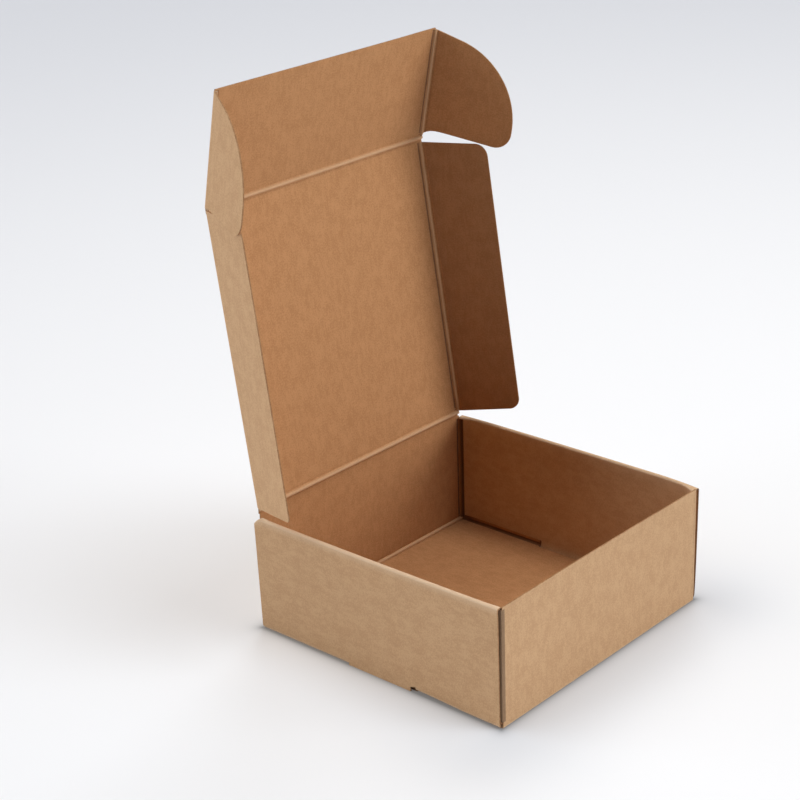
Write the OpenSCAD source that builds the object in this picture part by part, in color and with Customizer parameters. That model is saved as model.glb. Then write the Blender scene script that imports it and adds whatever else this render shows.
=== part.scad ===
// Small mailer box folded from one sheet of plain kraft board, standing open.
// The tray has double side walls that roll over the corner flaps and lock through slots in the base.
// The lid is hinged on the back wall and carries two side flaps and a tuck flap with two ears.
// Millimetres. The origin is the middle of the base's underside, +X right, +Y to the back, +Z up.

/* [Board] */
// Thickness of the board
board_t = 0.35; // [0.3:0.05:0.5]
// Play between two layers of board that lie on each other
layer_gap = 0.12; // [0.1:0.02:0.2]
// Play between the bead of a crease and the flap that turns on it
crease_gap = 0.05; // [0.04:0.01:0.08]

/* [Tray] */
// Width between the double side walls
inner_w = 75.8; // [60:0.2:110]
// Depth between the front wall and the back wall
inner_d = 75.7; // [64:0.1:110]
// Height from the base to the rims
inner_h = 30.7; // [30.7:0.1:45]
// Outer radius of the fold under each side wall
side_fold_r = 1.2; // [0.8:0.1:1.6]
// Outer radius of the two folds along each rim
rim_fold_r = 0.5; // [0.4:0.05:0.6]
// How far the side walls stop short of the outer faces of the front and back walls
side_wall_set_back = 0.5; // [0.5:0.05:1]
// Gap between the lower edge of each inner side wall and the base
inner_wall_lift = 1.1; // [0.6:0.1:2]
// Gap between the ends of each inner side wall and the front and back walls
inner_wall_end_gap = 1.6; // [0.6:0.1:3]
// Length of the corner flaps inside the double walls
corner_flap_l = 27; // [15:1:30]
// Gap above and below the corner flaps inside the double walls
corner_flap_gap = 0.9; // [0.6:0.1:3]
// Radius of the free corners of the corner flaps
corner_flap_r = 4; // [2:0.5:6]

/* [Lock tabs] */
// Length of the tab that locks each inner side wall into the base
lock_tab_l = 20; // [12:1:30]
// Play round a lock tab in its slot
lock_play = 0.3; // [0.2:0.05:0.5]

/* [Lid] */
// Height of the lid's crease above the rims
lid_rise = 1.3; // [1:0.1:2]
// How far the creases at the lid's sides lie inside the inner side walls
lid_side_inset = 0.4; // [0.4:0.05:1]
// Play between the tuck flap and the front wall when the box is closed
tuck_play = 0.15; // [0.1:0.05:0.6]
// How far the lid stands open, from closed
lid_open = 98.5; // [90:0.5:110]

/* [Side flaps] */
// Width of the lid's side flaps
side_flap_w = 18.5; // [12:0.5:22]
// Gap at the root between a side flap and the tuck flap's crease
side_flap_front_gap = 1.9; // [1.8:0.1:4]
// Gap at the root between a side flap and the lid's crease
side_flap_back_gap = 1.2; // [0.6:0.1:3]
// Angle by which each end of a side flap is cut back
side_flap_taper = 4.5; // [4.5:0.5:8]
// Radius of the free corners of the side flaps
side_flap_r = 3.5; // [2:0.5:6]
// Fold of the side flaps, from flat
side_flap_fold = 69; // [67:0.5:69.5]

/* [Tuck flap] */
// Length of the tuck flap from its crease to its free edge
tuck_l = 29.7; // [28.8:0.1:30.4]
// How far the creases at the tuck flap's sides lie inside the inner side walls
tuck_side_inset = 0.5; // [0.5:0.05:1.2]
// Fold of the tuck flap, from flat
tuck_fold = 20; // [16:0.5:24]

/* [Ears] */
// Width of the ears
ear_w = 24.2; // [18.5:0.1:26]
// Gap between the root of an ear and the tuck flap's crease
ear_low_gap = 2.7; // [2.4:0.1:3.5]
// Gap between the root of an ear and the tuck flap's free edge
ear_top_gap = 0.3; // [0.2:0.1:1]
// Slope of the ear's lower edge, away from the lid
ear_low_slope = 0.5; // [0.5:0.5:3]
// Slope of the ear's upper edge at its root
ear_top_slope = 7; // [4:1:10]
// Radius of the ear's upper corner
ear_top_r = 20; // [10:0.5:20]
// Radius of the ear's lower corner
ear_low_r = 4.6; // [3:0.1:5]
// Fold of the ears, from flat
ear_fold = 70.5; // [69.5:0.5:72]

/* [Hidden] */
$fn = 48;
kraft = "#b58f66";
kraft_lid = "#ae855c";
kraft_flap = "#a67b52";
// A cut or a hole reaches this far past the board that it goes through
through = 1;
// Half the angle of the open groove at the back of the lid's crease
groove_half = 47;
wall_w = 3 * board_t + 2 * layer_gap;
outer_w = inner_w + 2 * wall_w;
outer_d = inner_d + 2 * board_t;
rim_z = board_t + inner_h;
inner_side_x = inner_w / 2;
outer_side_x = outer_w / 2;
// The inner face of a corner flap, where it folds off the front or back wall
corner_x = outer_side_x - 2 * board_t - layer_gap;
crease_y = inner_d / 2;
lid_crease_z = rim_z + lid_rise;
base_x = outer_side_x - side_fold_r;
side_wall_l = outer_d - 2 * side_wall_set_back;
inner_wall_end_y = crease_y - inner_wall_end_gap;
inner_wall_z = board_t + inner_wall_lift;
corner_flap_low_z = side_fold_r + corner_flap_gap;
corner_flap_top_z = rim_z - board_t - corner_flap_gap;
lid_x = inner_side_x - lid_side_inset;
lid_l = inner_d - board_t - tuck_play;
tuck_x = inner_side_x - tuck_side_inset;
ear_l = tuck_l - ear_top_gap;
// A rounded corner is cut from the kite between the corner, its two tangent points and the arc's centre
function unit(v) = v / norm(v);
function toward(a, b, d) = a + unit(b - a) * d;
function corner_half(a, p, b) = acos(unit(a - p) * unit(b - p)) / 2;
function tangent_l(a, p, b, r) = r / tan(corner_half(a, p, b));
function arc_centre(a, p, b, r) =
    toward(p, p + unit(a - p) + unit(b - p), r / sin(corner_half(a, p, b)));

// An outline with straight sides and a radius at each corner, 0 for a sharp one
module rounded(points, radii) {
    n = len(points);
    straight = [
        for (i = [0 : n - 1])
            let (a = points[(i + n - 1) % n], p = points[i], b = points[(i + 1) % n])
                for (q = radii[i] > 0 ? [a, b] : [p])
                    q == p ? p : toward(p, q, tangent_l(a, p, b, radii[i]))
    ];
    polygon(straight);
    for (i = [0 : n - 1])
        if (radii[i] > 0)
            let (a = points[(i + n - 1) % n], p = points[i], b = points[(i + 1) % n], r = radii[i]) {
                c = arc_centre(a, p, b, r);
                t = tangent_l(a, p, b, r);
                intersection() {
                    translate(c) circle(r);
                    polygon([toward(p, a, t), p, toward(p, b, t), c]);
                }
            }
}

// A panel lies in the sheet's plane: its inner face is at z = 0 and its outer face below that
module panel(points, radii) {
    translate([0, 0, -board_t]) linear_extrude(board_t) rounded(points, radii);
}

// The bead of a crease runs along +X from the origin
module bead(length, r = board_t) {
    rotate([0, 90, 0]) cylinder(h = length, r = r);
}

// Room for the bead of a crease along +X from the origin, past both ends
module bead_room(length) {
    translate([-through, 0, 0]) bead(length + 2 * through, board_t + crease_gap);
}

// The open groove behind the lid's crease takes this wedge from the panel that lies along +Y
module groove_cut(length) {
    reach = 2 * board_t;
    translate([-through, 0, 0]) rotate([90, 0, 90]) linear_extrude(length + 2 * through)
        polygon([[0, 0], [reach * tan(groove_half), -reach], [-reach, -reach], [-reach, 0]]);
}

// The two sides are alike
module both_sides() {
    children();
    mirror([1, 0, 0]) children();
}

// A quarter of a fold: the board bends round the origin from +X down to -Y
module quarter_fold(r) {
    intersection() {
        difference() {
            circle(r);
            circle(r - board_t);
        }
        translate([0, -r]) square(r);
    }
}

// Section through a side wall: up the outside, over the rim and down the inside
module side_section() {
    rim_fold_z = rim_z - rim_fold_r;
    translate([base_x, side_fold_r]) quarter_fold(side_fold_r);
    translate([outer_side_x - board_t, side_fold_r]) square([board_t, rim_fold_z - side_fold_r]);
    translate([outer_side_x - rim_fold_r, rim_fold_z]) rotate(90) quarter_fold(rim_fold_r);
    translate([inner_side_x + rim_fold_r, rim_z - board_t]) square([wall_w - 2 * rim_fold_r, board_t]);
    translate([inner_side_x + rim_fold_r, rim_fold_z]) rotate(180) quarter_fold(rim_fold_r);
    translate([inner_side_x, inner_wall_z]) square([board_t, rim_fold_z - inner_wall_z]);
}

// One double side wall, with its lock tab and the straight tongue of the outer wall beside the slot
module side_wall() {
    slot_l = lock_tab_l + 2 * lock_play;
    difference() {
        rotate([90, 0, 0]) translate([0, 0, -side_wall_l / 2]) linear_extrude(side_wall_l) side_section();
        // The inner wall is a little shorter than the outer wall and the rim
        for (y = [-inner_wall_end_y - 4 * through, inner_wall_end_y])
            translate([inner_side_x - through, y, 0])
                cube([through + board_t + layer_gap / 2, 4 * through, rim_z - rim_fold_r]);
        // The slot takes the fold away between the lock tab and the outer wall
        translate([base_x - through, -slot_l / 2, -through])
            cube([side_fold_r + through - board_t, slot_l, side_fold_r + through]);
        translate([outer_side_x - board_t, -slot_l / 2, -through])
            cube([2 * board_t, slot_l, side_fold_r + through]);
    }
    translate([outer_side_x - board_t, -slot_l / 2, 0]) cube([board_t, slot_l, side_fold_r]);
    translate([inner_side_x, -lock_tab_l / 2, 0]) cube([board_t, lock_tab_l, inner_wall_z]);
}

// The base, open where the lock tabs pass through it
module base() {
    slot_l = lock_tab_l + 2 * lock_play;
    difference() {
        translate([-base_x, -crease_y, 0]) cube([2 * base_x, inner_d, board_t]);
        both_sides() translate([inner_side_x - lock_play, -slot_l / 2, -through])
            cube([wall_w, slot_l, board_t + 2 * through]);
    }
}

// A front or back wall with its two corner flaps, as a panel at the back of the tray
module end_wall(top_z) {
    flap_h = corner_flap_top_z - corner_flap_low_z;
    translate([-base_x, crease_y, board_t]) bead(2 * base_x);
    translate([0, crease_y, 0]) rotate([90, 0, 0])
        panel([[-base_x, board_t], [base_x, board_t], [base_x, corner_flap_low_z], [corner_x, corner_flap_low_z],
               [corner_x, top_z], [-corner_x, top_z], [-corner_x, corner_flap_low_z],
               [-base_x, corner_flap_low_z]],
              [0, 0, 0, 0, 0, 0, 0, 0]);
    both_sides() translate([corner_x, crease_y, corner_flap_low_z]) {
        cylinder(h = flap_h, r = board_t);
        rotate([90, 0, -90]) panel([[0, 0], [corner_flap_l, 0], [corner_flap_l, flap_h], [0, flap_h]],
                                   [0, corner_flap_r, corner_flap_r, 0]);
    }
}

// The back wall reaches up to the lid's crease and carries its bead
module back_wall() {
    difference() {
        end_wall(lid_crease_z);
        translate([-corner_x, crease_y, lid_crease_z]) rotate([90, 0, 0]) mirror([0, 1, 0]) groove_cut(2 * corner_x);
        // The shoulders beside the lid's crease are cut down clear of the lid
        both_sides() translate([lid_x, crease_y - through, rim_z])
            cube([outer_side_x - lid_x, 2 * through, lid_rise + through]);
    }
    translate([-lid_x, crease_y, lid_crease_z]) bead(2 * lid_x);
}

module tray() {
    color(kraft) {
        base();
        both_sides() side_wall();
        mirror([0, 1, 0]) end_wall(rim_z);
        back_wall();
    }
}

// The lid's own plane: the origin is on its crease, +Y runs to the tuck flap and +Z is its inner side
module on_lid() {
    translate([0, crease_y, lid_crease_z]) rotate([180 - lid_open, 0, 0]) children();
}

// The tuck flap's own plane, in the same way
module on_tuck() {
    on_lid() translate([0, lid_l, 0]) rotate([tuck_fold, 0, 0]) children();
}

// A flap at the right or the left of the plane that carries it, turned in by its fold
module at_side(side, x, fold) {
    mirror([side < 0 ? 1 : 0, 0, 0]) translate([x, 0, 0]) rotate([0, -fold, 0]) children();
}

module lid_panel() {
    color(kraft_lid) on_lid() {
        difference() {
            panel([[-lid_x, 0], [lid_x, 0], [lid_x, lid_l], [-lid_x, lid_l]], [0, 0, 0, 0]);
            translate([-lid_x, 0, 0]) bead_room(2 * lid_x);
            translate([-lid_x, 0, 0]) groove_cut(2 * lid_x);
        }
        translate([-lid_x, lid_l, 0]) bead(2 * lid_x);
        both_sides() translate([lid_x, side_flap_back_gap, 0]) rotate([0, 0, 90])
            bead(lid_l - side_flap_back_gap - side_flap_front_gap);
    }
}

module side_flap() {
    cut_back = side_flap_w * tan(side_flap_taper);
    front = lid_l - side_flap_front_gap;
    difference() {
        panel([[0, side_flap_back_gap], [side_flap_w, side_flap_back_gap + cut_back],
               [side_flap_w, front - cut_back], [0, front]],
              [0, side_flap_r, side_flap_r, 0]);
        rotate([0, 0, 90]) bead_room(lid_l);
    }
}

module side_flap_left() {
    color(kraft_flap) on_lid() at_side(-1, lid_x, side_flap_fold) side_flap();
}

module side_flap_right() {
    color(kraft_flap) on_lid() at_side(1, lid_x, side_flap_fold) side_flap();
}

module tuck_flap() {
    color(kraft_lid) on_tuck() {
        difference() {
            panel([[-tuck_x, 0], [tuck_x, 0], [tuck_x, tuck_l], [-tuck_x, tuck_l]], [0, 0, 0, 0]);
            translate([-tuck_x, 0, 0]) bead_room(2 * tuck_x);
        }
        both_sides() translate([tuck_x, ear_low_gap, 0]) rotate([0, 0, 90]) bead(ear_l - ear_low_gap);
    }
}

module ear() {
    difference() {
        panel([[0, ear_low_gap], [ear_w, ear_low_gap + ear_w * tan(ear_low_slope)],
               [ear_w, ear_l - ear_w * tan(ear_top_slope)], [0, ear_l]],
              [0, ear_low_r, ear_top_r, 0]);
        rotate([0, 0, 90]) bead_room(tuck_l);
    }
}

module ear_left() {
    color(kraft_flap) on_tuck() at_side(-1, tuck_x, ear_fold) ear();
}

module ear_right() {
    color(kraft_flap) on_tuck() at_side(1, tuck_x, ear_fold) ear();
}

tray();
lid_panel();
side_flap_left();
side_flap_right();
tuck_flap();
ear_left();
ear_right();
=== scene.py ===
import math
import bmesh
import bpy
import numpy as np
from mathutils import Matrix, Vector


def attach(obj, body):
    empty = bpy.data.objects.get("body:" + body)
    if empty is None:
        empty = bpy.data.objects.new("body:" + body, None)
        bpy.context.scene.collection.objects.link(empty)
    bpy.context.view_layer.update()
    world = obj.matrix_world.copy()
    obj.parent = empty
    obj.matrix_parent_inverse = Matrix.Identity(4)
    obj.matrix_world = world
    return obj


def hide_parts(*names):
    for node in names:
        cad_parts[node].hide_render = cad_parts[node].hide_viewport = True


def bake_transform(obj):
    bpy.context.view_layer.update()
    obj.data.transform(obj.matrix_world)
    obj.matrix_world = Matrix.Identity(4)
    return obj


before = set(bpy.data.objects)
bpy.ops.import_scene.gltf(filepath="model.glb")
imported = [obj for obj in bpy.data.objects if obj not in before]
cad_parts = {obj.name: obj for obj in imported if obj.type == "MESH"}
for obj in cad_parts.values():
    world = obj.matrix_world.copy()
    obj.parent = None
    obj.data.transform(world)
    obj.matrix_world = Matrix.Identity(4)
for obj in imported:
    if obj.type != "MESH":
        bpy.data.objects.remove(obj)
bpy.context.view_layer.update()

# ---------------------------------------------------------------- sizes
# In millimetres, as in the part's source, but for what the photo shows beyond the rigid solids.
# Where the two sides differ, 1 is the right side and -1 the left.
MM = 0.001
SIDES = {1: "right", -1: "left"}
# The board, and the play between the layers of a double side wall
T = 0.35
PLAY = 0.12
# The tray
INNER_W, INNER_D = 75.8, 75.7
INNER_X = INNER_W / 2
OUTER_X = INNER_X + 3 * T + 2 * PLAY
BASE_FOLD_R = 1.2
RIM_FOLD_R = 0.5
RIM_Z = 31.05
BASE_X = OUTER_X - BASE_FOLD_R
CREASE_Y = INNER_D / 2
SIDE_Y = CREASE_Y + T - 0.5
INNER_END_Y = CREASE_Y - 1.6
INNER_FRONT_Y = CREASE_Y - 0.5
INNER_LOW_Z = T + 1.5
# Where the slot beside the base begins and ends, how far in it reaches, and where the tongue begins
SLOT_Y = {1: (-10.3, 10.3), -1: (-12.6, 8.6)}
SLOT_IN = 0.3
TONGUE_Y = {1: -10.3, -1: -11.0}
TAB_PLAY = 0.3
# The corner flaps inside the side walls
CORNER_X = OUTER_X - 2 * T - PLAY
CORNER_TOP_Z = {1: RIM_Z - T - 0.25, -1: RIM_Z - T - 0.9}
BACK_CORNER_DROP = {1: 0.0, -1: 0.7}
BACK_CORNER_LOW = 0.75
BACK_STRIP_X = 0.45
CORNER_L = 27.0
# The lid and the tuck flap; board gives way a little, so both are wider here than the rigid solids
LID_Z = RIM_Z + 1.3
LID_X = INNER_X - 0.05
LID_L = INNER_D - T - 0.15
LID_OPEN = 98.5
TUCK_L = 29.7
TUCK_X = {1: INNER_X + 0.7, -1: INNER_X + 0.2}
TUCK_FOLD = 20.0
# The side flaps
FLAP_W = 18.5
FLAP_FOLD = {1: 74.3, -1: 70.5}
FLAP_FRONT_GAP = {1: 1.2, -1: 0.45}
FLAP_FRONT_TAPER, FLAP_FRONT_R = 4.9, 3.5
FLAP_BACK_GAP, FLAP_BACK_TAPER = 0.35, 2.8
FLAP_BACK_R = {1: 3.0, -1: 1.5}
# The ears
EAR_L = TUCK_L - 0.3
EAR_W = {1: 24.2, -1: 19.9}
EAR_FOLD = {1: 73.7, -1: 69.3}
EAR_TOP_SLOPE, EAR_TOP_R = {1: 9.5, -1: 16.0}, 20.0
EAR_LOW_GAP = {1: 2.7, -1: 0.9}
EAR_LOW_SLOPE, EAR_LOW_R = 0.5, 4.6
EAR_ROOT_GAP, EAR_RELIEF = 0.3, 1.3
# A crease takes this much of the board at each side of its axis
CREASE_W = 1.3
BEAD_R = 0.58
BASE_BEAD_R = 0.75
# The size of the meshes' cells
CELL = 1.5
CORNER_CELL = 3.0
TONGUE_CELL = 0.6
BASE_FOLD_STEPS, RIM_FOLD_STEPS = 7, 5
FLAP_STEPS, FLAP_MIN_CELLS = 33, 8
END_CELLS = (0.9, 0.4, 0.2)
SAME_POINT = 0.0005
SHARP_DEG = 50

# ---------------------------------------------------------------- how the board departs from flat
# The side walls lean outwards: in the middle, at the front end and at the back end
FLARE = {1: 1.2, -1: 0.9}
FLARE_FRONT = {1: 1.2, -1: 0.35}
FLARE_BACK = {1: 0.75, -1: 0.85}
LEAN_CURVE = {1: 0.25, -1: 1.0}
HELD_L = 4.5
# At the corners the folds hold the inner layers; towards the outer face the hold fades over this width
FADE_START, FADE_W = 0.1, 3 * T + 2 * PLAY - 0.5
# The rims are lower at their rounded ends
RIM_END = {1: 12.0, -1: 2.4}
RIM_DROOP_BACK = {1: 0.2, -1: 1.5}
RIM_DROOP_FRONT = {1: 0.5, -1: 0.1}
DROOP_POWER = 6
# The fold under the left wall rises a little in front of its slot
FOLD_RISE = {1: 0.0, -1: 0.5}
FOLD_RISE_FRONT, FOLD_RISE_BACK, FOLD_RISE_HIGH = 18.0, 1.4, 6.0
# Bows and waves, each with the width of its soft edge or the length of its wave
BASE_BOW, BASE_EDGE = 0.25, 24
FRONT_BOW, BACK_BOW = 0.25, -0.15
WALL_EDGE, WALL_RISE = 30, 12
WALL_WAVE, WALL_WAVE_L = 0.08, 60
WALL_STILL_X, WALL_STILL_Y = 8, 6
LID_BOW, LID_WAVE, LID_WAVE_L, LID_EDGE = -0.2, 0.25, 90, 14
TUCK_BOW, TUCK_WAVE, TUCK_WAVE_L, TUCK_EDGE, TUCK_RISE = 0.1, 0.15, 80, 16, 10
FLAP_BOW, FLAP_BOW_L = 0.12, 23

# ---------------------------------------------------------------- tones
# Above 0 the board is paler: where a fold has stretched the fibres, and as a painted highlight on crease
# beads and along the top of the inner walls. Below 0 it is painted shade: in grooves, in gaps and where a
# wall hides the board
RIM_TONE = {1: 0.3, -1: 0.9}
RIM_SIDE_SHARE = 0.5
# A painted highlight along the top of each inner wall, fading out over this height below the rim
INNER_RIM_HIGHLIGHT, INNER_RIM_FADE = 0.5, 2.5
BASE_FOLD_TONE = 0.4
# Painted shade on the side walls' cut ends, for the dark gaps at the corners
WALL_END_SHADE = {1: -0.8, -1: -0.1}
# Painted shade on the low part of the side walls, below the inner wall's foot
LOW_WALL_SHADE = -0.7
# Painted shade on the inside of the right side flap, which the lamps alone leave too light
FLAP_INSIDE_SHADE = {1: -0.25, -1: 0.0}
# Painted shade on the corner flaps and their creases, in the gaps behind the side walls; on the flaps it
# fades away from the crease over CORNER_FADE
FRONT_CORNER_SHADE = {1: 0.7, -1: 0.12}
BACK_CORNER_SHADE = {1: 0.75, -1: 0.75}
CORNER_FADE = 9
# How much painted shade shows in the grooves beside a plain crease and beside one that a flap hangs on
PLAIN_GROOVE_SHADE, FLAP_GROOVE_SHADE = 0.15, 0.8
# Beside its bead a crease dips: the distance from the axis, the depth and the tone, which below 0 is painted
# shade in the dip
DIPS = ((CREASE_W, 0, 0), (1.12, 0.02, -0.3), (0.92, 0.06, -1), (0.7, 0.05, -0.9))
FAR_DIP_SHARE = 0.25
BEAD_STEPS, BEAD_SIDE_DEG, BEAD_CROWN = 9, 10, 0.1
# The bead is paler: its fibres are stretched, and a highlight is painted where it catches the light from
# above
BEAD_TONE, OUTER_BEAD_TONE, OUTER_BEND = 0.3, 0.8, 0.3
SHADE_NEAR = 0.4

# Slots of every board object
INNER, OUTER, EDGE = 0, 1, 2


# ---------------------------------------------------------------- frames
def move(x, y, z):
    m = np.eye(4)
    m[:3, 3] = (x, y, z)
    return m


def turn(deg, axis):
    return np.array(Matrix.Rotation(math.radians(deg), 4, axis))


def flip(side):
    return np.diag([float(side), 1.0, 1.0, 1.0])


def put(m, p):
    p = np.asarray(p, float)
    return p @ m[:3, :3].T + m[:3, 3]


def hinge(m, side, x):
    """The crease at one side of a panel: local X runs along the crease and local Y away from the panel."""
    return m @ flip(side) @ move(x, 0, 0) @ turn(-90, "Z")


LID = move(0, CREASE_Y, LID_Z) @ turn(180 - LID_OPEN, "X")
TUCK = LID @ move(0, LID_L, 0) @ turn(TUCK_FOLD, "X")
FRONT_BASE = move(0, -CREASE_Y, T) @ turn(180, "Z")
BACK_BASE = move(0, CREASE_Y, T)
FRONT = FRONT_BASE @ turn(90, "X")
BACK = BACK_BASE @ turn(90, "X")
# Where the lid and the tuck flap begin on the flat sheet
LID_BLANK_Y = CREASE_Y + LID_Z
TUCK_BLANK_Y = LID_BLANK_Y + LID_L


# ---------------------------------------------------------------- meshes
class Board:
    """Gathers sheets of board in one mesh."""

    def __init__(self, name):
        self.name = name
        self.verts, self.faces, self.mats, self.blank, self.tone = [], [], [], [], []
        self.count = 0

    def grid(self, inner, outer, blank, mask=None, tone=0.0, outer_tone=0.0):
        """A sheet between two grids of points; blank is each point's place on the flat sheet."""
        inner, outer = np.asarray(inner, float), np.asarray(outer, float)
        m, n = inner.shape[:2]
        if mask is None:
            mask = np.ones((m - 1, n - 1), bool)
        base, half = self.count, m * n
        self.verts.append(np.concatenate([inner.reshape(-1, 3), outer.reshape(-1, 3)]))
        flat = np.zeros((m, n, 3))
        flat[..., :2] = blank
        low = flat.copy()
        low[..., 2] = -T
        self.blank.append(np.concatenate([flat.reshape(-1, 3), low.reshape(-1, 3)]))
        self.tone.append(np.concatenate([np.broadcast_to(v, (m, n)).ravel() for v in (tone, outer_tone)]))
        self.count += 2 * half

        def at(i, j, layer):
            return base + layer * half + i * n + j

        for i, j in np.argwhere(mask).tolist():
            ring = [(i, j), (i + 1, j), (i + 1, j + 1), (i, j + 1)]
            self.faces.append([at(a, b, 0) for a, b in ring])
            self.faces.append([at(a, b, 1) for a, b in reversed(ring)])
            self.mats += [INNER, OUTER]
            for k, (di, dj) in enumerate([(0, -1), (1, 0), (0, 1), (-1, 0)]):
                a, b = i + di, j + dj
                if 0 <= a < m - 1 and 0 <= b < n - 1 and mask[a, b]:
                    continue
                p, q = ring[k], ring[(k + 1) % 4]
                self.faces.append([at(*p, 0), at(*p, 1), at(*q, 1), at(*q, 0)])
                self.mats.append(EDGE)

    def build(self, materials):
        """Turns what was gathered into one object, without the points that no face uses."""
        verts = np.concatenate(self.verts) * MM
        used = sorted({v for f in self.faces for v in f})
        index = {v: k for k, v in enumerate(used)}
        me = bpy.data.meshes.new(self.name)
        me.from_pydata(verts[used].tolist(), [], [[index[v] for v in f] for f in self.faces])
        me.polygons.foreach_set("material_index", self.mats)
        attribute = me.attributes.new("blank", "FLOAT_VECTOR", "POINT")
        blank = np.concatenate(self.blank)[used] * MM
        attribute.data.foreach_set("vector", blank.astype(np.float32).ravel())
        attribute = me.attributes.new("tone", "FLOAT", "POINT")
        attribute.data.foreach_set("value", np.concatenate(self.tone)[used].astype(np.float32))
        for material in materials:
            me.materials.append(material)
        me.validate()
        bm = bmesh.new()
        bm.from_mesh(me)
        bmesh.ops.remove_doubles(bm, verts=bm.verts, dist=SAME_POINT * MM)
        bmesh.ops.recalc_face_normals(bm, faces=bm.faces)
        bm.to_mesh(me)
        bm.free()
        me.polygons.foreach_set("use_smooth", [True] * len(me.polygons))
        me.set_sharp_from_angle(angle=math.radians(SHARP_DEG))
        return link(bpy.data.objects.new(self.name, me))


def link(ob):
    """Puts an object in the scene."""
    bpy.context.scene.collection.objects.link(ob)
    return ob


def spaced(*stops, cell=CELL):
    """Grid lines through all the stops, no further apart than a cell."""
    out = [stops[0]]
    for a, b in zip(stops, stops[1:]):
        n = max(1, int(math.ceil(abs(b - a) / cell - 1e-6)))
        out += [a + (b - a) * k / n for k in range(1, n + 1)]
    return np.array(out)


def mids(v):
    return (v[:-1] + v[1:]) / 2


def crossed(x, y):
    return np.meshgrid(x, y, indexing="ij")


def on_sheet(x, y, origin=(0, 0)):
    """The points' places on the flat sheet."""
    return np.stack([x + origin[0], y + origin[1]], -1)


# ---------------------------------------------------------------- waves, leans and folds
def smooth(f):
    """A soft step for f from 0 to 1."""
    return f * f * (3 - 2 * f)


def wave(x, y, seed, size):
    """A slow and repeatable wave over the sheet: four sines, each in its own direction."""
    total = 0
    for k in range(4):
        way = seed * 1.7 + k * 2.4
        pace = (0.7 + 0.35 * k) / size
        along = x * math.cos(way) + y * math.sin(way)
        total = total + np.sin(pace * along * 2 * math.pi + seed * 3.1 + k) / (k + 1.5)
    return total / 1.6


def window(x, lo, hi, soft):
    """0 at both ends and 1 in the middle."""
    return smooth(np.clip((x - lo) / soft, 0, 1) * np.clip((hi - x) / soft, 0, 1))


def lean(side, y, z):
    """How far a side wall stands outwards."""
    u = np.clip((y + SIDE_Y) / (2 * SIDE_Y), 0, 1)
    ends = FLARE_FRONT[side] * (1 - u) + FLARE_BACK[side] * u
    bow = (FLARE[side] - (FLARE_FRONT[side] + FLARE_BACK[side]) / 2) * 4 * u * (1 - u)
    return (ends + bow) * (np.clip(z, 0, RIM_Z) / RIM_Z) ** LEAN_CURVE[side]


def held(y):
    """0 at the corners, where the walls' folds hold the inner layers, and 1 away from them."""
    return smooth(np.clip((CREASE_Y - np.abs(y)) / HELD_L, 0, 1))


def droop(side, y, z):
    """How much lower the rim is at its two rounded ends."""
    back = np.clip((y - SIDE_Y + RIM_END[side]) / RIM_END[side], 0, 1) ** 2 * RIM_DROOP_BACK[side]
    front = np.clip((-y - SIDE_Y + RIM_END[side]) / RIM_END[side], 0, 1) ** 2 * RIM_DROOP_FRONT[side]
    return (back + front) * np.clip(z / RIM_Z, 0, 1) ** DROOP_POWER


def fold_rise(side, y):
    """How far the fold under a side wall stands off the floor, in front of its slot."""
    away = SLOT_Y[side][0] - y
    return FOLD_RISE[side] * smooth(np.clip(1 - np.where(away > 0, away / FOLD_RISE_FRONT,
                                                         -away / FOLD_RISE_BACK), 0, 1))


def panel_points(m, x, y, bump):
    """Inner and outer faces of a panel at the grid x, y, bent by bump along its inner normal."""
    return put(m, np.stack([x, y, bump], -1)), put(m, np.stack([x, y, bump - T], -1))


# ---------------------------------------------------------------- creases
def crease_profile(fold, bead_r, groove, shade):
    """Inner and outer points of a crease across its axis, in its own Y and Z, with the tone of each."""
    def ray(deg, r):
        a = math.radians(deg)
        return np.array([math.cos(a), math.sin(a)]) * r

    inner, outer, tone = [], [], []
    depth = 1 if shade else groove
    # The dips' tone below 0 is painted shade in the grooves beside the bead
    for d, dip, dip_tone in DIPS:
        inner.append(ray(180, d) + ray(90, -dip))
        outer.append(ray(180, d) + ray(-90, T))
        tone.append((dip_tone * depth, 0))
    tone[-1] = (tone[-1][0], -shade)
    first, last = 180 - BEAD_SIDE_DEG, fold + BEAD_SIDE_DEG
    # The bead is paler, partly from stretched fibres and partly as a painted highlight
    for f in np.linspace(0, 1, BEAD_STEPS):
        middle = 1 - abs(2 * f - 1)
        inner.append(ray(first + (last - first) * f, bead_r * (1 - BEAD_CROWN + BEAD_CROWN * middle)))
        way, bend = (180, 1 - 2 * f) if f < 0.5 else (fold, 2 * f - 1)
        outer.append(ray(way, OUTER_BEND * bend) + ray(-90 + fold * f, T))
        # A crease that a side wall hides gets painted shade instead, deeper towards the second panel
        if shade:
            tone.append((-shade * (SHADE_NEAR + (1 - SHADE_NEAR) * f), -shade))
        else:
            tone.append((BEAD_TONE + (1 - BEAD_TONE) * middle, OUTER_BEAD_TONE * middle))
    for d, dip, dip_tone in reversed(DIPS):
        inner.append(ray(fold, d) + ray(fold + 90, -dip))
        outer.append(ray(fold, d) + ray(fold - 90, T))
        tone.append((FAR_DIP_SHARE * dip_tone * depth - shade, -shade))
    return np.array(inner), np.array(outer), np.array(tone)


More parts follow.
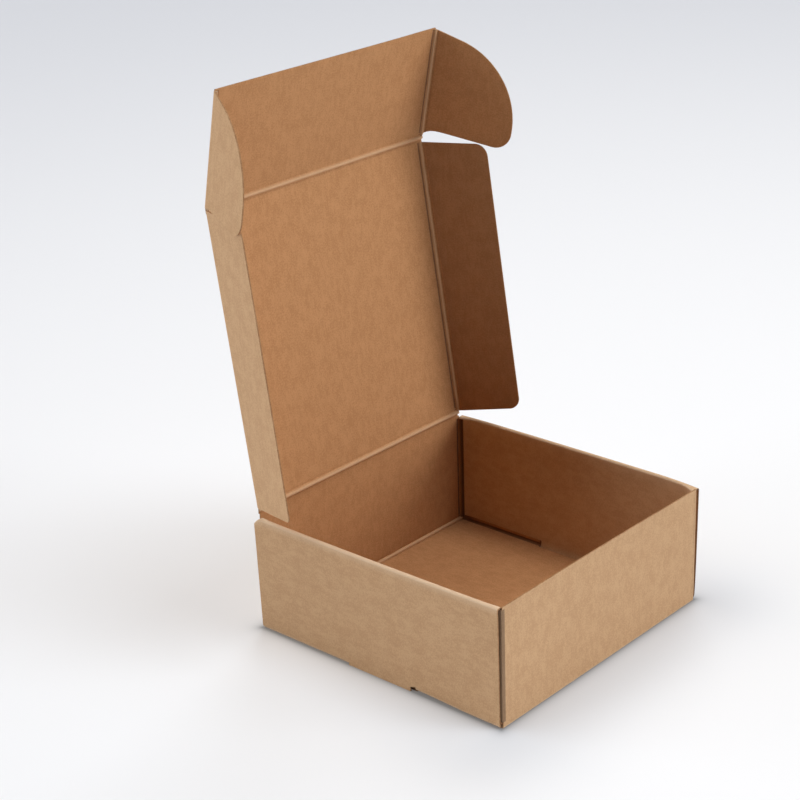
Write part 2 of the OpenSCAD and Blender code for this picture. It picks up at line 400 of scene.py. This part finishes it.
def crease(board, m, fold, x, blank_origin, blank_turn=False, groove=PLAIN_GROOVE_SHADE, shade=0.0,
           bead_r=BEAD_R, ends=None):
    """A crease along x in the frame m, where the first panel lies at -Y and the second turns by fold.
    Ends gives the first and last x at each distance from the axis on the second panel's side."""
    inner, outer, tone = crease_profile(fold, bead_r, groove, shade)
    across = np.linspace(-CREASE_W, CREASE_W, len(inner))
    along = np.repeat(np.asarray(x)[:, None], len(inner), 1)
    if ends:
        first, last = ends(np.clip(across, 0, None))
        f = (along - x[0]) / (x[-1] - x[0])
        along = first[None] + (last - first)[None] * f

    def solid(profile):
        return put(m, np.stack([along, np.broadcast_to(profile[:, 0], along.shape),
                                np.broadcast_to(profile[:, 1], along.shape)], -1))

    across = np.broadcast_to(across, along.shape)
    blank = on_sheet(across, along, blank_origin) if blank_turn else on_sheet(along, across, blank_origin)
    board.grid(solid(inner), solid(outer), blank, tone=tone[None, :, 0], outer_tone=tone[None, :, 1])


# ---------------------------------------------------------------- the side walls
# How near a point or a direction counts as the same, and the normal's x past the rim
NEAR = 0.01
PAST_RIM = -0.5


def wall_path():
    """A side wall from the base over the rim to the inner wall's foot, as seen from the front:
    x and z of its outside, x and z of the normal there, and the way along it."""
    points = []

    def fold(x, z, r, first, last, steps):
        for k in range(steps + 1):
            a = math.radians(first + (last - first) * k / steps)
            points.append((x + math.cos(a) * r, z + math.sin(a) * r, math.cos(a), math.sin(a)))

    def flat(xs, zs, nx, nz):
        points.extend((x, z, nx, nz) for x in xs for z in zs)

    def steps_of(points):
        return np.linalg.norm(np.diff(points[:, :2], axis=0), axis=1)

    shoulder_z = RIM_Z - RIM_FOLD_R
    outer_x, inner_x = OUTER_X - RIM_FOLD_R, INNER_X + RIM_FOLD_R
    fold(BASE_X, BASE_FOLD_R, BASE_FOLD_R, -90, 0, BASE_FOLD_STEPS)
    flat([OUTER_X], spaced(BASE_FOLD_R, shoulder_z)[1:], 1, 0)
    fold(outer_x, shoulder_z, RIM_FOLD_R, 0, 90, RIM_FOLD_STEPS)
    flat(spaced(outer_x, inner_x)[1:], [RIM_Z], 0, 1)
    fold(inner_x, shoulder_z, RIM_FOLD_R, 90, 180, RIM_FOLD_STEPS)
    flat([INNER_X], spaced(shoulder_z, INNER_LOW_Z, 0)[1:], -1, 0)
    points = np.array(points)
    points = points[np.r_[True, steps_of(points) > 1e-6]]
    return (*points.T, np.r_[0, np.cumsum(steps_of(points))])


def wall_tones(side, y, z, nx, nz):
    """Tones of a side wall's inner and outer face: pale folds, a painted highlight at the top of the inner
    wall, and painted shade low down and at the wall's ends.
    """
    pale = np.where((nx > NEAR - 1) & (nz > NEAR), RIM_TONE[side], 0.0)
    pale += np.where(nz < -NEAR, BASE_FOLD_TONE, 0.0)
    pale += RIM_SIDE_SHARE * RIM_TONE[side] * ((nx > 1 - NEAR) & (z > RIM_Z - RIM_FOLD_R - NEAR))
    # The painted highlight along the top of the inner wall
    high = np.clip((z - RIM_Z + INNER_RIM_FADE) / INNER_RIM_FADE, 0, 1)
    pale += INNER_RIM_HIGHLIGHT * (nx < PAST_RIM) * high
    # Painted shade low down, below the inner wall's foot
    low_shade = np.where(z < INNER_LOW_Z, LOW_WALL_SHADE, 0.0)
    # Painted shade on the walls' cut ends
    at_end = (np.abs(y) > SIDE_Y - NEAR)[None]
    return [np.where(at_end, WALL_END_SHADE[side], tone[:, None]) for tone in (low_shade, pale)]


def side_wall(board, side):
    """The outer wall, the rim and the inner wall with its lock tab are one strip."""
    out_x, out_z, nx, nz, way = wall_path()
    front, back = SLOT_Y[side]
    y = spaced(-SIDE_Y, -SIDE_Y + END_CELLS[-1], -INNER_FRONT_Y, front, front + TAB_PLAY, back - TAB_PLAY,
               back, INNER_END_Y, *(SIDE_Y - step for step in END_CELLS), SIDE_Y)
    yy = np.broadcast_to(y, (len(way), len(y)))

    def solid(x, z):
        x, z = (np.broadcast_to(v[:, None], yy.shape) for v in (x, z))
        outer_share = np.clip((x - INNER_X - FADE_START) / FADE_W, 0, 1)
        shift = lean(side, yy, z) * (outer_share + (1 - outer_share) * held(yy))
        rise = fold_rise(side, yy) * np.clip(1 - z / FOLD_RISE_HIGH, 0, 1) * (nx > PAST_RIM)[:, None]
        return np.stack([side * (x + shift), yy, z + rise - droop(side, yy, z)], -1)

    # The slot opens the fold, the inner wall is shorter than the outer one, and its foot is only the tab
    ym = mids(y)
    on_fold = (mids(nx) > 0) & (mids(out_z) < BASE_FOLD_R)
    inside = mids(nx) < NEAR - 1
    low = inside & (mids(out_z) < INNER_LOW_Z)
    cut = np.outer(on_fold, (ym > front) & (ym < back))
    cut |= np.outer(inside, (ym > INNER_END_Y) | (ym < -INNER_FRONT_Y))
    cut |= np.outer(low, (ym < front + TAB_PLAY) | (ym > back - TAB_PLAY))
    blank = on_sheet(np.broadcast_to(side * (BASE_X + way)[:, None], yy.shape), yy)
    tone, outer_tone = wall_tones(side, y, out_z, nx, nz)
    board.grid(solid(out_x - nx * T, out_z - nz * T), solid(out_x, out_z), blank, ~cut, tone, outer_tone)
    tongue(board, side, BASE_X + way[BASE_FOLD_STEPS] - BASE_FOLD_R)


def tongue(board, side, blank_x):
    """The outer wall's tongue goes straight down beside the slot."""
    z, y = crossed(spaced(0, BASE_FOLD_R, cell=TONGUE_CELL), spaced(TONGUE_Y[side], SLOT_Y[side][1]))
    x = OUTER_X + lean(side, y, z)
    board.grid(np.stack([side * (x - T), y, z], -1), np.stack([side * x, y, z], -1),
               on_sheet(side * (blank_x + z), y))


# ---------------------------------------------------------------- base, front wall and back wall
def base(board):
    """The base, a little bowed, with the inner part of the slots at its sides."""
    edge = INNER_X - SLOT_IN
    x = spaced(-BASE_X, -edge, edge, BASE_X)
    y = spaced(-CREASE_Y + CREASE_W, *sorted({*SLOT_Y[1], *SLOT_Y[-1]}), CREASE_Y - CREASE_W)
    xx, yy = crossed(x, y)
    bump = BASE_BOW * window(xx, -BASE_X, BASE_X, BASE_EDGE) * window(yy, -CREASE_Y, CREASE_Y, BASE_EDGE)
    cut = np.zeros((len(x) - 1, len(y) - 1), bool)
    for side, (front, back) in SLOT_Y.items():
        bump = bump + fold_rise(side, yy) * np.clip((side * xx - BASE_X) / FOLD_RISE_HIGH + 1, 0, 1)
        cut |= np.outer(side * mids(x) > edge, (mids(y) > front) & (mids(y) < back))
    board.grid(np.stack([xx, yy, T + bump], -1), np.stack([xx, yy, bump], -1), on_sheet(xx, yy), ~cut)


def follow(p):
    """A corner flap leans outwards with the side wall that hides it."""
    side = 1 if p[..., 0].mean() > 0 else -1
    p = p.copy()
    p[..., 0] += side * lean(side, p[..., 1], p[..., 2]) * held(p[..., 1])
    return p


def corner_flap(board, m, side, low, high, shade):
    """A flap behind a side wall, with its crease."""
    origin = (CORNER_X, CREASE_Y)
    crease(board, hinge(m, side, CORNER_X), 90, -spaced(low, high), origin, blank_turn=True, shade=shade)
    x, y = crossed(spaced(CREASE_W, CORNER_L, cell=CORNER_CELL), spaced(low, high, cell=CORNER_CELL))
    flap = m @ flip(side) @ move(CORNER_X, 0, 0) @ turn(-90, "Y")
    inner, outer = (follow(p) for p in panel_points(flap, x, y, 0 * x))
    # Painted shade, darkest at the crease
    tone = -shade * np.clip(1 - (x - CREASE_W) / CORNER_FADE, 0, 1)
    board.grid(inner, outer, on_sheet(x, y, origin), tone=tone, outer_tone=tone)


def end_wall(board, m, base_frame, top, seed, bow, has_lid):
    """The front or the back wall with its two corner flaps."""
    crease(board, base_frame, 90, spaced(-CORNER_X, CORNER_X), (0, CREASE_Y), bead_r=BASE_BEAD_R)
    low = CREASE_W - BACK_CORNER_LOW if has_lid else CREASE_W
    high = {side: CORNER_TOP_Z[side] - T - (BACK_CORNER_DROP[side] if has_lid else 0) for side in SIDES}
    stop = CORNER_X - CREASE_W
    strip = stop + BACK_STRIP_X
    x = spaced(-CORNER_X, -strip, -stop, stop, strip, CORNER_X)
    y = spaced(CREASE_W, high[-1], high[1], RIM_Z - T, *([top] if has_lid else []))
    xx, yy = crossed(x, y)
    swell = window(xx, -stop, stop, WALL_EDGE) * np.clip((yy - CREASE_W) / WALL_RISE, 0, 1)
    if has_lid:
        swell = swell * np.clip((top - yy) / WALL_RISE, 0, 1)
    still = window(xx, -stop, stop, WALL_STILL_X) * window(yy, CREASE_W, top, WALL_STILL_Y)
    bump = bow * swell + WALL_WAVE * wave(xx, yy, seed, WALL_WAVE_L) * still
    if not has_lid:
        bump = np.clip(bump, 0, None)
    # Beside the corner flaps' creases the wall ends, but for a strip above them
    cut = np.zeros((len(x) - 1, len(y) - 1), bool)
    for side in SIDES:
        cut |= np.outer(side * mids(x) > stop, mids(y) < high[side])
        if has_lid:
            cut |= np.outer(side * mids(x) > strip, mids(y) > (RIM_Z - T if side > 0 else high[side]))
    inner, outer = panel_points(m, xx, yy, bump)
    board.grid(inner, outer, on_sheet(xx, yy, (0, CREASE_Y)), ~cut)
    shades = BACK_CORNER_SHADE if has_lid else FRONT_CORNER_SHADE
    for side in SIDES:
        corner_flap(board, m, side, low, high[side], shades[side])


def make_tray():
    board = Board("tray_board")
    base(board)
    for side in SIDES:
        side_wall(board, side)
    end_wall(board, FRONT, FRONT_BASE, RIM_Z - T, seed=3, bow=FRONT_BOW, has_lid=False)
    end_wall(board, BACK, BACK_BASE, LID_Z - T - CREASE_W, seed=5, bow=BACK_BOW, has_lid=True)
    return board.build(MATERIALS)


# ---------------------------------------------------------------- the lid and the tuck flap
def make_lid():
    board = Board("lid_board")
    stop, end = LID_X - CREASE_W, LID_L - CREASE_W
    x, y = crossed(spaced(-stop, stop), spaced(CREASE_W, end))
    still = window(x, -stop, stop, LID_EDGE) * window(y, CREASE_W, end, LID_EDGE)
    bump = still * (LID_WAVE * wave(x, y, 2, LID_WAVE_L) + LID_BOW)
    inner, outer = panel_points(LID, x, y, bump)
    board.grid(inner, outer, on_sheet(x, y, (0, LID_BLANK_Y)))
    return board.build(MATERIALS)


def make_tuck():
    board = Board("tuck_board")
    left, right = -TUCK_X[-1] + CREASE_W, TUCK_X[1] - CREASE_W
    x = spaced(-TUCK_X[-1], left, right, TUCK_X[1])
    y = spaced(CREASE_W, EAR_L, TUCK_L)
    xx, yy = crossed(x, y)
    still = window(xx, left, right, TUCK_EDGE) * np.clip(yy / TUCK_RISE, 0, 1) ** 2
    bump = still * (TUCK_WAVE * wave(xx, yy, 4, TUCK_WAVE_L) + TUCK_BOW)
    # The ears' creases take the two sides, as far as the ears reach
    cut = np.outer((mids(x) > right) | (mids(x) < left), mids(y) < EAR_L)
    inner, outer = panel_points(TUCK, xx, yy, bump)
    board.grid(inner, outer, on_sheet(xx, yy, (0, TUCK_BLANK_Y)), ~cut)
    return board.build(MATERIALS)


# ---------------------------------------------------------------- side flaps and ears
def rounded_edge(a, start, slope, r, end, sign):
    """The height of an outline at the distances a from the crease:
    a line from start, then a round corner of radius r."""
    s = math.radians(slope)
    cx = end - r
    cy = start - sign * cx * math.tan(s) - sign * r / math.cos(s)
    line = start - sign * a * math.tan(s)
    curve = cy + sign * np.sqrt(np.clip(r * r - (a - cx) ** 2, 0, None))
    return np.where(a > cx + r * math.sin(s), curve, line)


def side_flap_outline(side):
    """The lower and the upper edge of a side flap, at each distance from its crease."""
    def low(a):
        return rounded_edge(a, FLAP_BACK_GAP, FLAP_BACK_TAPER, FLAP_BACK_R[side], FLAP_W, -1)

    def high(a):
        return rounded_edge(a, LID_L - FLAP_FRONT_GAP[side], FLAP_FRONT_TAPER, FLAP_FRONT_R, FLAP_W, 1)

    return low, high


def ear_outline(side):
    """The lower and the upper edge of an ear, at each distance from its crease."""
    def low(a):
        relief = (EAR_LOW_GAP[side] - EAR_ROOT_GAP) * np.exp(-np.asarray(a) / EAR_RELIEF)
        return rounded_edge(a, EAR_LOW_GAP[side], EAR_LOW_SLOPE, EAR_LOW_R, EAR_W[side], -1) - relief

    def high(a):
        return rounded_edge(a, EAR_L, EAR_TOP_SLOPE[side], EAR_TOP_R, EAR_W[side], 1)

    return low, high


def root(outline):
    """Where a flap's crease begins and ends."""
    return [float(edge(np.array(0.0))) for edge in outline]


def flap_panel(board, m, side, x, fold, outline, width, blank_y, bow=0.0, tone=0.0):
    """A flap beside its crease, within its outline."""
    low, high = outline
    first, last = root(outline)
    a = CREASE_W + (width - CREASE_W) * np.sin(np.linspace(0, 1, FLAP_STEPS) * math.pi / 2)
    v = np.linspace(0, 1, max(FLAP_MIN_CELLS, int((last - first) / CELL)) + 1)
    lo, hi = low(a)[:, None], high(a)[:, None]
    yy = lo + (hi - lo) * v[None]
    xx = np.repeat(a[:, None], len(v), 1)
    flap = m @ flip(side) @ move(x, 0, 0) @ turn(-fold, "Y")
    inner, outer = panel_points(flap, xx, yy, bow * (xx / width) * np.sin(yy / FLAP_BOW_L + side))
    # A tone below 0 paints shade on the flap's inner face
    board.grid(inner, outer, on_sheet(side * xx, yy, (side * x, blank_y)), tone=tone)


def make_side_flap(side):
    board = Board("side_flap_" + SIDES[side] + "_board")
    flap_panel(board, LID, side, LID_X, FLAP_FOLD[side], side_flap_outline(side), FLAP_W, LID_BLANK_Y,
               FLAP_BOW, FLAP_INSIDE_SHADE[side])
    return board.build(MATERIALS)


def make_ear(side):
    board = Board("ear_" + SIDES[side] + "_board")
    flap_panel(board, TUCK, side, TUCK_X[side], EAR_FOLD[side], ear_outline(side), EAR_W[side],
               TUCK_BLANK_Y)
    return board.build(MATERIALS)


# ---------------------------------------------------------------- creases between the parts
def moving_crease(name, m, fold, x, body_a, body_b, blank_origin, **options):
    """A crease of its own between two bodies, built in place."""
    board = Board(name)
    crease(board, m, fold, x, blank_origin, **options)
    ob = board.build(MATERIALS)
    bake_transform(ob)
    return ob


def side_crease(name, m, side, x, fold, outline, body_a, body_b, blank_y):
    """The crease between a panel and the flap at its side."""
    low, high = outline
    return moving_crease(name, hinge(m, side, x), fold, -spaced(*root(outline)), body_a, body_b,
                         (side * x, blank_y), blank_turn=True, groove=FLAP_GROOVE_SHADE,
                         ends=lambda a: (-low(a), -high(a)))


# ---------------------------------------------------------------- materials
# The paper's mottle comes from three noises: scale per metre, detail and share of each
CLOUD, CLOUD_SHARE = (240, 4), 0.27
FINE, FINE_SHARE = (2400, 2), 0.46
FIBRE, FIBRE_SHARE = (900, 3), 0.27
FIBRE_STRETCH, FIBRE_TURN = (1, 0.35, 1), (0, 0, 0.2)
NOISE_ROUGHNESS = 0.6
# The noise between these two goes from the dark colour to the light one
MOTTLE_LOW, MOTTLE_HIGH = 0.43, 0.57
# How pale a fold's stretched fibres and the painted highlights are, and the colour of the painted shade
PALE_POWER, PALE_SHARE = 0.62, 0.75
SHADE_PAINT, SHADE_PAINT_SHARE = (0.08, 0.05, 0.036, 1), 0.85
BOARD_ROUGHNESS, CUT_ROUGHNESS, SHEEN = 0.85, 0.95, 0.25
RELIEF_STRENGTH, RELIEF_HEIGHT = 0.25, 0.00004
WHITE, BLACK = (1, 1, 1, 1), (0, 0, 0, 1)


class Shader:
    """Short ways to add and link the nodes of one material or world."""

    def __init__(self, owner):
        owner.use_nodes = True
        self.tree = owner.node_tree
        self.tree.nodes.clear()

    def add(self, kind, inputs=None, **settings):
        """A node with its settings; an input that is a socket is linked, any other is a plain value."""
        node = self.tree.nodes.new(kind)
        for key, value in settings.items():
            setattr(node, key, value)
        for key, value in (inputs or {}).items():
            if isinstance(value, bpy.types.NodeSocket):
                self.tree.links.new(value, node.inputs[key])
            else:
                node.inputs[key].default_value = value
        return node

    def math(self, operation, a, b=0.0):
        return self.add("ShaderNodeMath", {0: a, 1: b}, operation=operation).outputs[0]

    def mix(self, factor, a, b, kind="MIX"):
        inputs = {"Factor": factor, "A": a, "B": b}
        return self.add("ShaderNodeMix", inputs, data_type="RGBA", blend_type=kind).outputs["Result"]


def kraft(name, light, dark, roughness=BOARD_ROUGHNESS):
    """Plain paper board, mottled, paler where a fold stretched it or a highlight is painted, and darker
    where shade is painted.
    """
    material = bpy.data.materials.new(name)
    s = Shader(material)
    place = s.add("ShaderNodeAttribute", attribute_name="blank").outputs["Vector"]
    stretched = s.add("ShaderNodeMapping", {"Vector": place, "Scale": FIBRE_STRETCH, "Rotation": FIBRE_TURN})

    def noise(source, scale, detail):
        inputs = {"Vector": source, "Scale": scale, "Detail": detail, "Roughness": NOISE_ROUGHNESS}
        return s.add("ShaderNodeTexNoise", inputs).outputs["Fac"]

    cloud, fine = noise(place, *CLOUD), noise(place, *FINE)
    fibre = noise(stretched.outputs["Vector"], *FIBRE)
    mottle = s.math("ADD", s.math("MULTIPLY", cloud, CLOUD_SHARE), s.math("MULTIPLY", fine, FINE_SHARE))
    mottle = s.math("ADD", mottle, s.math("MULTIPLY", fibre, FIBRE_SHARE))
    ramp = s.add("ShaderNodeMapRange", {"Value": mottle, "From Min": MOTTLE_LOW, "From Max": MOTTLE_HIGH})
    colour = s.mix(ramp.outputs[0], (*dark, 1), (*light, 1))
    tone = s.add("ShaderNodeAttribute", attribute_name="tone").outputs["Fac"]
    # Tone above 0 paints the board paler, below 0 paints shade on it
    up = s.math("MAXIMUM", tone, 0.0)
    down = s.math("MAXIMUM", s.math("MULTIPLY", tone, -1.0), 0.0)
    pale = (*[c ** PALE_POWER for c in light], 1)
    colour = s.mix(s.math("MULTIPLY", up, PALE_SHARE), colour, pale)
    colour = s.mix(s.math("MULTIPLY", down, SHADE_PAINT_SHARE), colour, SHADE_PAINT)
    relief = s.add("ShaderNodeBump", {"Strength": RELIEF_STRENGTH, "Distance": RELIEF_HEIGHT,
                                      "Height": s.math("ADD", fine, fibre)})
    surface = s.add("ShaderNodeBsdfPrincipled", {"Base Color": colour, "Normal": relief.outputs[0],
                                                 "Roughness": roughness, "Specular IOR Level": SHEEN})
    s.add("ShaderNodeOutputMaterial", {0: surface.outputs[0]})
    return material


MATERIALS = (
    kraft("kraft_inside", (0.525, 0.265, 0.117), (0.435, 0.2105, 0.087)),
    kraft("kraft_outside", (0.585, 0.369, 0.204), (0.505, 0.304, 0.161)),
    kraft("kraft_cut_edge", (0.42, 0.24, 0.12), (0.30, 0.155, 0.07), CUT_ROUGHNESS),
)

# ---------------------------------------------------------------- the pieces
tray_ob = make_tray()
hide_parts("tray")
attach(tray_ob, "tray")
lid_ob = make_lid()
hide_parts("lid_panel")
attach(lid_ob, "lid")
tuck_ob = make_tuck()
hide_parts("tuck_flap")
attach(tuck_ob, "tuck")
for side, which in SIDES.items():
    ob = make_side_flap(side)
    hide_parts("side_flap_" + which)
    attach(ob, which + "_flap")
    ob = make_ear(side)
    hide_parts("ear_" + which)
    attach(ob, which + "_ear")

moving_crease("lid_crease", move(0, CREASE_Y, LID_Z) @ turn(90, "X"), 90 - LID_OPEN,
                           spaced(-LID_X, LID_X), "tray", "lid", (0, LID_BLANK_Y))
moving_crease("tuck_crease", LID @ move(0, LID_L, 0), TUCK_FOLD,
                           spaced(-TUCK_X[-1], TUCK_X[1]), "lid", "tuck", (0, TUCK_BLANK_Y))
for side, which in SIDES.items():
    side_crease("side_flap_" + which + "_crease", LID, side, LID_X, FLAP_FOLD[side],
                             side_flap_outline(side), "lid", which + "_flap", LID_BLANK_Y)
    side_crease("ear_" + which + "_crease", TUCK, side, TUCK_X[side], EAR_FOLD[side],
                             ear_outline(side), "tuck", which + "_ear", TUCK_BLANK_Y)

# ---------------------------------------------------------------- the floor
# In metres. The camera sees a floor that glows a little, most of all near the front, which makes its
# shadows weaker. All other light meets plain paper.
FLOOR_SIZE = 6.0
FLOOR_PAPER = (0.806, 0.822, 0.852, 1)
FLOOR_SEEN = (0.51, 0.551, 0.595, 1)
FLOOR_GLOW = (0.071, 0.039, 0.034)
FRONT_GLOW = (0.344, 0.332, 0.302)
FRONT_GLOW_CENTRE, FRONT_GLOW_RADIUS = (0.1, -0.1, 0), 0.4
# A painted shadow of the box on the floor beside it, mostly at the front: a thin dark line and a wide soft
# shade
BOX_HALF = (0.0392, 0.0382)
CONTACT_SHADOW, CONTACT_WIDTH = 0.6, 0.0013
SHADE, SHADE_WIDTH = (0.83, 0.85, 0.88, 1), 0.02
SHADE_END, SHADE_FADE = 0.03, 0.06


def floor_glow(s, place):
    """The floor's own light, strongest round a place near the front."""
    away = s.add("ShaderNodeVectorMath", {0: place, 1: FRONT_GLOW_CENTRE}, operation="DISTANCE")
    ratio = s.math("DIVIDE", away.outputs["Value"], FRONT_GLOW_RADIUS)
    near = s.math("EXPONENT", s.math("MULTIPLY", s.math("MULTIPLY", ratio, ratio), -0.5))
    brightest = (*[a + b for a, b in zip(FLOOR_GLOW, FRONT_GLOW)], 1)
    return s.mix(near, (*FLOOR_GLOW, 1), brightest)


def floor_shade(s, place):
    """The painted shadow: a dark line where the box meets the floor, and the soft shade beside it."""
    axes = s.add("ShaderNodeSeparateXYZ", {0: place}).outputs

    def beyond(axis, half):
        return s.math("MAXIMUM", s.math("SUBTRACT", s.math("ABSOLUTE", axes[axis]), half), 0.0)

    dx, dy = beyond("X", BOX_HALF[0]), beyond("Y", BOX_HALF[1])
    gap = s.math("SQRT", s.math("ADD", s.math("MULTIPLY", dx, dx), s.math("MULTIPLY", dy, dy)))
    line = s.math("EXPONENT", s.math("DIVIDE", gap, -CONTACT_WIDTH))
    wide = s.math("DIVIDE", gap, SHADE_WIDTH)
    wide = s.math("EXPONENT", s.math("MULTIPLY", s.math("MULTIPLY", wide, wide), -1.0))
    front = s.math("DIVIDE", s.math("SUBTRACT", SHADE_END, axes["Y"]), SHADE_FADE)
    front = s.math("MINIMUM", s.math("MAXIMUM", front, 0.0), 1.0)
    shade = s.mix(s.math("MULTIPLY", wide, front), WHITE, SHADE)
    return s.mix(s.math("MULTIPLY", line, CONTACT_SHADOW), shade, BLACK)


def floor_material():
    material = bpy.data.materials.new("floor_paper")
    s = Shader(material)
    place = s.add("ShaderNodeTexCoord").outputs["Object"]
    shade = floor_shade(s, place)
    glow = s.add("ShaderNodeEmission", {"Color": s.mix(1.0, floor_glow(s, place), shade, "MULTIPLY")})
    weak = s.add("ShaderNodeBsdfDiffuse", {"Color": s.mix(1.0, FLOOR_SEEN, shade, "MULTIPLY")})
    seen = s.add("ShaderNodeAddShader", {0: glow.outputs[0], 1: weak.outputs[0]})
    paper = s.add("ShaderNodeBsdfDiffuse", {"Color": FLOOR_PAPER})
    path = s.add("ShaderNodeLightPath").outputs
    looks = s.math("MAXIMUM", path["Is Glossy Ray"], path["Is Transmission Ray"])
    looks = s.math("MAXIMUM", path["Is Camera Ray"], looks)
    both = s.add("ShaderNodeMixShader", {0: looks, 1: paper.outputs[0], 2: seen.outputs[0]})
    s.add("ShaderNodeOutputMaterial", {0: both.outputs[0]})
    return material


def make_floor():
    me = bpy.data.meshes.new("floor")
    h = FLOOR_SIZE / 2
    me.from_pydata([(-h, -h, 0), (h, -h, 0), (h, h, 0), (-h, h, 0)], [], [(0, 1, 2, 3)])
    me.materials.append(floor_material())
    return link(bpy.data.objects.new("floor", me))


floor = make_floor()

# ---------------------------------------------------------------- lights and background
# Azimuth 0 is in front of the box and 90 at its right; the last number is the light's share
SOFT_LIGHTS = {
    "front_low": (30, 15, 0.473),
    "front_high": (30, 65, 0.401),
    "right": (120, 40, 0.302),
    "window_high": (-150, 65, 0.247),
    "window_low": (-150, 15, 0.238),
    "window_side": (-120, 15, 0.238),
    "ceiling": (0, 90, 0.109),
}
LIGHT_SOFTNESS = 30
BACKGROUND = (0.93, 0.935, 0.95, 1)


def soft_light(name, azimuth, elevation, share):
    data = bpy.data.lights.new(name, "SUN")
    data.angle = math.radians(LIGHT_SOFTNESS)
    data.energy = share * math.pi
    a, e = math.radians(azimuth), math.radians(elevation)
    towards = Vector((math.sin(a) * math.cos(e), -math.cos(a) * math.cos(e), math.sin(e)))
    light = link(bpy.data.objects.new(name, data))
    light.rotation_mode = "QUATERNION"
    light.rotation_quaternion = (-towards).to_track_quat("-Z", "Y")


def studio():
    """A pale background that only the camera sees; it gives no light."""
    world = bpy.data.worlds.new("studio")
    bpy.context.scene.world = world
    s = Shader(world)
    seen = s.add("ShaderNodeLightPath").outputs["Is Camera Ray"]
    background = s.add("ShaderNodeBackground", {"Color": BACKGROUND, "Strength": seen})
    s.add("ShaderNodeOutputWorld", {0: background.outputs[0]})


for name, values in SOFT_LIGHTS.items():
    soft_light(name, *values)
studio()

# ---------------------------------------------------------------- camera
# Fitted to the photo's corners; angles in radians, the place in millimetres, the focal length in pixels
AZIMUTH, ELEVATION, ROLL = -0.8376, 0.3973, -0.0333
SIDEWAYS, UPWARDS, DISTANCE = -20.061, 53.590, 499.9
FOCAL_PX, WIDTH_PX, SENSOR = 1988.7, 800, 36.0
CLIP_START, CLIP_END = 0.01, 20


def photo_camera():
    """The camera at the photo's angle."""
    back = np.array([math.sin(AZIMUTH) * math.cos(ELEVATION), -math.cos(AZIMUTH) * math.cos(ELEVATION),
                     math.sin(ELEVATION)])
    level = np.array([math.cos(AZIMUTH), math.sin(AZIMUTH), 0.0])
    rise = np.cross(back, level)
    right = math.cos(ROLL) * level + math.sin(ROLL) * rise
    up = -math.sin(ROLL) * level + math.cos(ROLL) * rise
    data = bpy.data.cameras.new("camera")
    data.sensor_width = SENSOR
    data.lens = FOCAL_PX / WIDTH_PX * SENSOR
    data.clip_start, data.clip_end = CLIP_START, CLIP_END
    camera = link(bpy.data.objects.new("camera", data))
    spot = (DISTANCE * back + SIDEWAYS * right + UPWARDS * up) * MM
    m = np.eye(4)
    m[:3] = np.column_stack([right, up, back, spot])
    camera.matrix_world = Matrix(m.tolist())
    return camera


bpy.context.scene.camera = photo_camera()
bpy.context.scene.view_settings.view_transform = "Standard"
